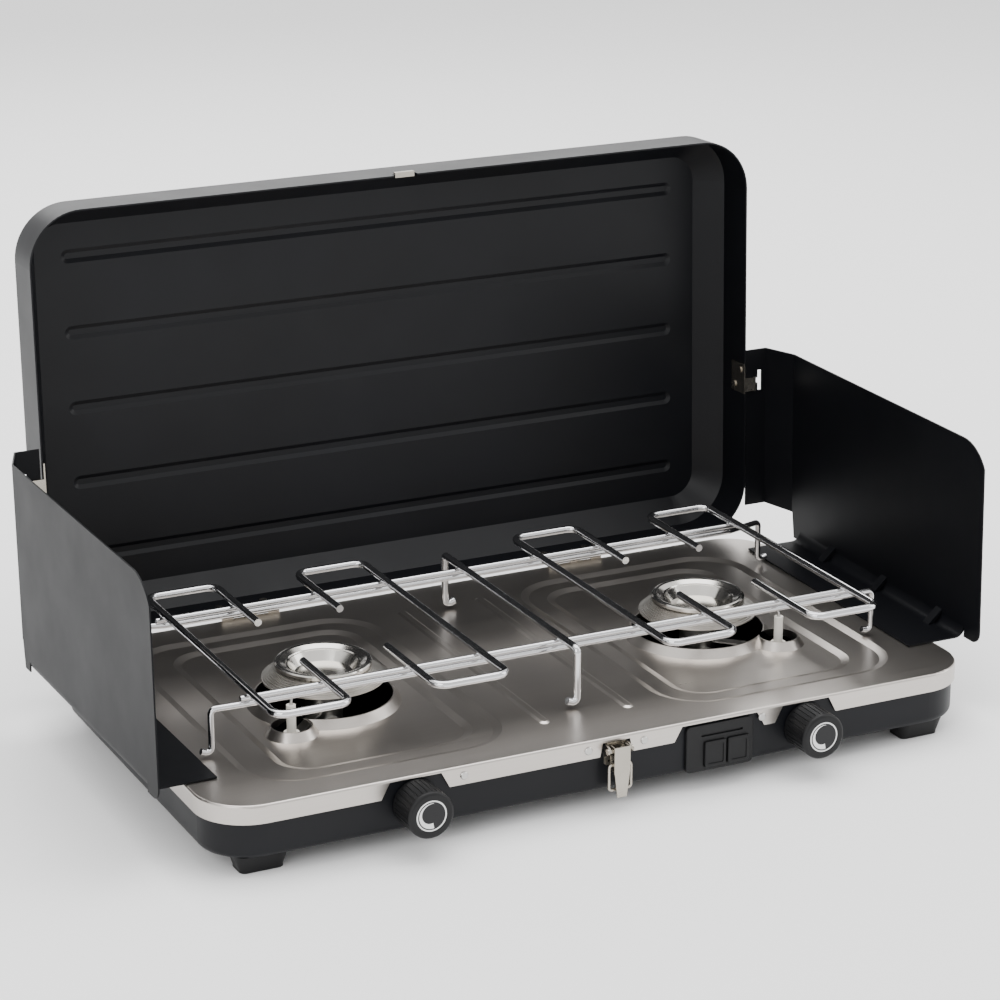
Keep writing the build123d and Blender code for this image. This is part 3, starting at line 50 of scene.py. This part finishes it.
# ---------------------------------------------------------------- materials
class Finish:
    """A node material built step by step. Positions are the object's own, in metres."""

    def __init__(self, name, colour, metallic, roughness, specular=0.5):
        self.material = bpy.data.materials.new(name)
        self.material.use_nodes = True
        self.tree = self.material.node_tree
        self.shader = self.tree.nodes["Principled BSDF"]
        self.shader.inputs["Base Color"].default_value = (*colour, 1)
        self.shader.inputs["Metallic"].default_value = metallic
        self.shader.inputs["Roughness"].default_value = roughness
        self.shader.inputs["Specular IOR Level"].default_value = specular
        self.position = self.tree.nodes.new("ShaderNodeTexCoord").outputs["Object"]
        self.normal = None

    def link(self, source, target):
        self.tree.links.new(source, target)

    def mapped(self, scale):
        """The object's own positions, scaled along each axis."""
        node = self.tree.nodes.new("ShaderNodeMapping")
        node.inputs["Scale"].default_value = scale
        self.link(self.position, node.inputs["Vector"])
        return node.outputs["Vector"]

    def noise(self, scale, detail=3.0, stretch=(1, 1, 1), rough=0.55):
        """A cloudy value from 0 to 1."""
        node = self.tree.nodes.new("ShaderNodeTexNoise")
        node.inputs["Scale"].default_value = scale
        node.inputs["Detail"].default_value = detail
        node.inputs["Roughness"].default_value = rough
        self.link(self.mapped(stretch), node.inputs["Vector"])
        return node.outputs["Fac"]

    def ramp(self, value, stops):
        """Colour steps from a value: pairs of position and colour."""
        node = self.tree.nodes.new("ShaderNodeValToRGB")
        elements = node.color_ramp.elements
        while len(elements) < len(stops):
            elements.new(0.5)
        for element, (place, colour) in zip(elements, stops):
            element.position = place
            element.color = (*colour, 1)
        self.link(value, node.inputs["Fac"])
        return node.outputs["Color"]

    def mix(self, factor, first, second):
        """A colour between two others."""
        node = self.tree.nodes.new("ShaderNodeMix")
        node.data_type = "RGBA"
        for value, socket in ((factor, 0), (first, 6), (second, 7)):
            if isinstance(value, (int, float)):
                node.inputs[socket].default_value = value
            elif isinstance(value, tuple):
                node.inputs[socket].default_value = (*value, 1)
            else:
                self.link(value, node.inputs[socket])
        return node.outputs[2]

    def maths(self, kind, first, second=0.0):
        """One step of arithmetic on values or numbers."""
        node = self.tree.nodes.new("ShaderNodeMath")
        node.operation = kind
        for socket, value in enumerate((first, second)):
            if isinstance(value, (int, float)):
                node.inputs[socket].default_value = value
            else:
                self.link(value, node.inputs[socket])
        return node.outputs[0]

    def between(self, value, low, high):
        """1 where value lies between low and high, and 0 elsewhere."""
        above = self.maths("GREATER_THAN", value, low)
        return self.maths("MULTIPLY", above, self.maths("LESS_THAN", value, high))

    def colour(self, value):
        self.link(value, self.shader.inputs["Base Color"])
        return self

    def roughness(self, value, low, high):
        """Roughness that runs from low to high as value runs from 0 to 1."""
        node = self.tree.nodes.new("ShaderNodeMapRange")
        node.inputs["To Min"].default_value = low
        node.inputs["To Max"].default_value = high
        self.link(value, node.inputs["Value"])
        self.link(node.outputs["Result"], self.shader.inputs["Roughness"])
        return self

    def bump(self, value, strength, distance):
        node = self.tree.nodes.new("ShaderNodeBump")
        node.inputs["Strength"].default_value = strength
        node.inputs["Distance"].default_value = distance
        self.link(value, node.inputs["Height"])
        if self.normal is not None:
            self.link(self.normal, node.inputs["Normal"])
        self.normal = node.outputs["Normal"]
        self.link(self.normal, self.shader.inputs["Normal"])
        return self

    def give(self, *names):
        """Puts this finish on CAD nodes."""
        for name in names:
            mesh = NODES[name].data
            mesh.materials.clear()
            mesh.materials.append(self.material)
        return self


def both(*names):
    """The left and right nodes of these names."""
    return [f"{side}_{name}" for side in ("left", "right") for name in names]


def powder_coat(name, tone, rough, specular):
    """Satin black paint: fine orange peel and a faint cloudy unevenness."""
    finish = Finish(name, (tone, tone, tone), 0.0, rough, specular)
    dark, light = (tone * 0.80, tone * 0.85, tone * 1.10), (tone * 1.15, tone * 1.25, tone * 1.70)
    finish.colour(finish.ramp(finish.noise(9.0, 4.0), ((0.3, dark), (0.75, light))))
    finish.roughness(finish.noise(26.0, 3.0), rough - 0.06, rough + 0.08)
    finish.bump(finish.noise(1400.0, 2.0), 0.14, 0.00010)
    return finish


def brushed(name, colour, rough):
    """Rolled steel: long fine scratches across the stove, with slow changes of tone."""
    finish = Finish(name, colour, 1.0, rough)
    streaks = finish.noise(1600.0, 2.0, (0.012, 1.0, 1.0), 0.5)
    broad = finish.noise(14.0, 2.0, (0.4, 1.0, 1.0))
    dark, light = tuple(c * 0.93 for c in colour), tuple(c * 1.05 for c in colour)
    steps = ((0.3, dark), (0.7, light))
    finish.colour(finish.mix(0.4, finish.ramp(broad, steps), finish.ramp(streaks, steps)))
    finish.roughness(streaks, rough - 0.03, rough + 0.05)
    finish.bump(streaks, 0.03, 0.00002)
    return finish


powder_coat("satin_black_lid", 0.0042, 0.40, 0.21).give("lid_shell")
powder_coat("satin_black_shield", 0.0032, 0.43, 0.13).give(*both("windshield"))
powder_coat("satin_black_pan", 0.0045, 0.40, 0.20).give("base_pan")
brushed("tray_steel", (0.53, 0.495, 0.46), 0.29).give("top_tray")


def polished(name, colour, rough, scuff=0.10):
    """Plated wire or ring: bright, with a faint uneven gloss."""
    finish = Finish(name, colour, 1.0, rough)
    cloud = finish.noise(60.0, 3.0)
    finish.roughness(cloud, rough, rough + scuff)
    finish.colour(finish.ramp(cloud, ((0.3, tuple(c * 0.93 for c in colour)), (0.7, colour))))
    finish.bump(finish.noise(420.0, 2.0), 0.05, 0.00010)
    return finish


polished("wire_chrome", (0.66, 0.66, 0.67), 0.09).give(
    "grate_wires", "front_rail", "rear_rail", "front_leg_wire", "rear_leg_wire", "centre_wire")
polished("ring_chrome", (0.66, 0.64, 0.60), 0.12).give(*both("port_ring", "burner_cap"))
polished("bright_nickel", (0.42, 0.39, 0.34), 0.20, 0.14).give(
    "latch_plate", "latch_pin", "latch_lever", "latch_bail", "lid_catch", "hinge_base_leaves",
    "hinge_lid_leaves", "hinge_pins", "lid_rivets", "hinge_base_rivets", *both("shield_bracket"))
polished("screw_zinc", (0.52, 0.51, 0.49), 0.26, 0.12).give(
    "skirt_screws", "foot_screws", "electrode_straps", "gas_pipe",
    *both("mixing_tube", "button_spring", "electrode"))
polished("brass", (0.60, 0.44, 0.18), 0.30, 0.15).give(
    "gas_inlet", *both("injector", "valve_body", "valve_stem"))

cast = Finish("burner_alloy", (0.55, 0.53, 0.50), 1.0, 0.36)
cast.roughness(cast.noise(180.0, 3.0), 0.28, 0.48)
cast.colour(cast.ramp(cast.noise(40.0, 4.0), ((0.3, (0.42, 0.40, 0.37)), (0.7, (0.62, 0.60, 0.57)))))
cast.bump(cast.noise(1500.0, 2.0), 0.25, 0.00015)
cast.give(*both("burner_body"))

plastic = Finish("moulded_black", (0.005, 0.005, 0.0055), 0.0, 0.46, 0.25)
plastic.roughness(plastic.noise(90.0, 3.0), 0.40, 0.54)
plastic.bump(plastic.noise(2600.0, 2.0), 0.22, 0.00008)
plastic.give("igniter_housing", "feet", *both("knob", "igniter_button", "piezo_unit"))

ceramic = Finish("ceramic", (0.80, 0.77, 0.70), 0.0, 0.55)
ceramic.bump(ceramic.noise(900.0, 2.0), 0.15, 0.0001)
ceramic.roughness(ceramic.noise(120.0), 0.48, 0.62)
ceramic.give(*both("electrode_insulator"))


def knob_print(side):
    """Black disc with a white ring and a white wedge that grows like a heat scale."""
    low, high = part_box(f"{side}_knob_disc")
    middle, radius = (low + high) / 2, (high.x - low.x) / 2
    finish = Finish(f"{side}_knob_print", BLACK, 0.0, 0.30, 0.30)
    place = finish.tree.nodes.new("ShaderNodeVectorMath")
    place.operation = "SUBTRACT"
    place.inputs[1].default_value = middle
    finish.link(finish.position, place.inputs[0])
    split = finish.tree.nodes.new("ShaderNodeSeparateXYZ")
    finish.link(place.outputs[0], split.inputs[0])
    across, up = split.outputs["X"], split.outputs["Z"]
    squares = [finish.maths("MULTIPLY", value, value) for value in (across, up)]
    out = finish.maths("DIVIDE", finish.maths("SQRT", finish.maths("ADD", *squares)), radius)
    ring = finish.between(out, RING_IN, RING_OUT)
    turns = finish.maths("DIVIDE", finish.maths("ARCTAN2", up, across), 2 * math.pi)
    turn = finish.maths("FRACT", finish.maths("ADD", turns, 1.0))
    inner = finish.maths("SUBTRACT", WEDGE_IN, finish.maths("MULTIPLY", turn, WEDGE_GROWTH))
    wedge = finish.between(out, inner, WEDGE_OUT)
    part = finish.maths("MULTIPLY", wedge, finish.between(turn, WEDGE_START, WEDGE_END))
    finish.colour(finish.mix(finish.maths("MAXIMUM", ring, part), BLACK, WHITE))
    finish.bump(finish.noise(1800.0), 0.08, 0.00005)
    finish.roughness(finish.noise(60.0), 0.26, 0.36)
    finish.give(f"{side}_knob_disc")


for side in ("left", "right"):
    knob_print(side)

# ---------------------------------------------------------------- floor, lights and camera
middle = (cad_low + cad_high) / 2

floor_mesh = bpy.data.meshes.new("floor")
corners = [(x * FLOOR_HALF, y * FLOOR_HALF, 0) for x, y in ((-1, -1), (1, -1), (1, 1), (-1, 1))]
floor_mesh.from_pydata(corners, [], [(0, 1, 2, 3)])
floor = bpy.data.objects.new("floor", floor_mesh)
floor.location.z = cad_low.z - FLOOR_GAP
bpy.context.scene.collection.objects.link(floor)
pale = bpy.data.materials.new("pale_floor")
pale.use_nodes = True
pale_shader = pale.node_tree.nodes["Principled BSDF"]
pale_shader.inputs["Base Color"].default_value = (0.97, 0.97, 0.97, 1)
pale_shader.inputs["Roughness"].default_value = 0.9
floor_mesh.materials.append(pale)


def soft_light(name, spot, aim, width, height, power):
    """A rectangular studio light at spot, aimed at a point."""
    lamp = bpy.data.lights.new(name, "AREA")
    lamp.shape = "RECTANGLE"
    lamp.size, lamp.size_y = width, height
    lamp.energy = power
    holder = bpy.data.objects.new(name, lamp)
    holder.location = spot
    holder.rotation_euler = (Vector(aim) - Vector(spot)).to_track_quat("-Z", "Y").to_euler()
    bpy.context.scene.collection.objects.link(holder)


soft_light("overhead", (0.1, 0.2, 2.1), (0.0, 0.0, 0.1), 2.4, 1.6, 42)
soft_light("left_front", (-1.9, -1.5, 1.4), middle, 1.4, 1.4, 20)
soft_light("right_side", (2.0, -0.6, 1.1), middle, 1.0, 1.6, 14)
soft_light("behind", (0.4, 1.9, 1.3), middle, 1.8, 0.8, 18)

world = bpy.data.worlds.new("studio")
world.use_nodes = True
sky = world.node_tree.nodes["Background"]
sky.inputs["Color"].default_value = (1.0, 1.0, 1.0, 1)
sky.inputs["Strength"].default_value = 1.35
bpy.context.scene.world = world

camera_data = bpy.data.cameras.new("camera")
camera_data.lens, camera_data.sensor_width = CAMERA_LENS, CAMERA_SENSOR
camera = bpy.data.objects.new("camera", camera_data)
camera.location = Vector(CAMERA_SPOT) + Vector((0, BASE_Y, TRAY_TOP))
camera.rotation_euler = CAMERA_TURN
bpy.context.scene.collection.objects.link(camera)
bpy.context.scene.camera = camera
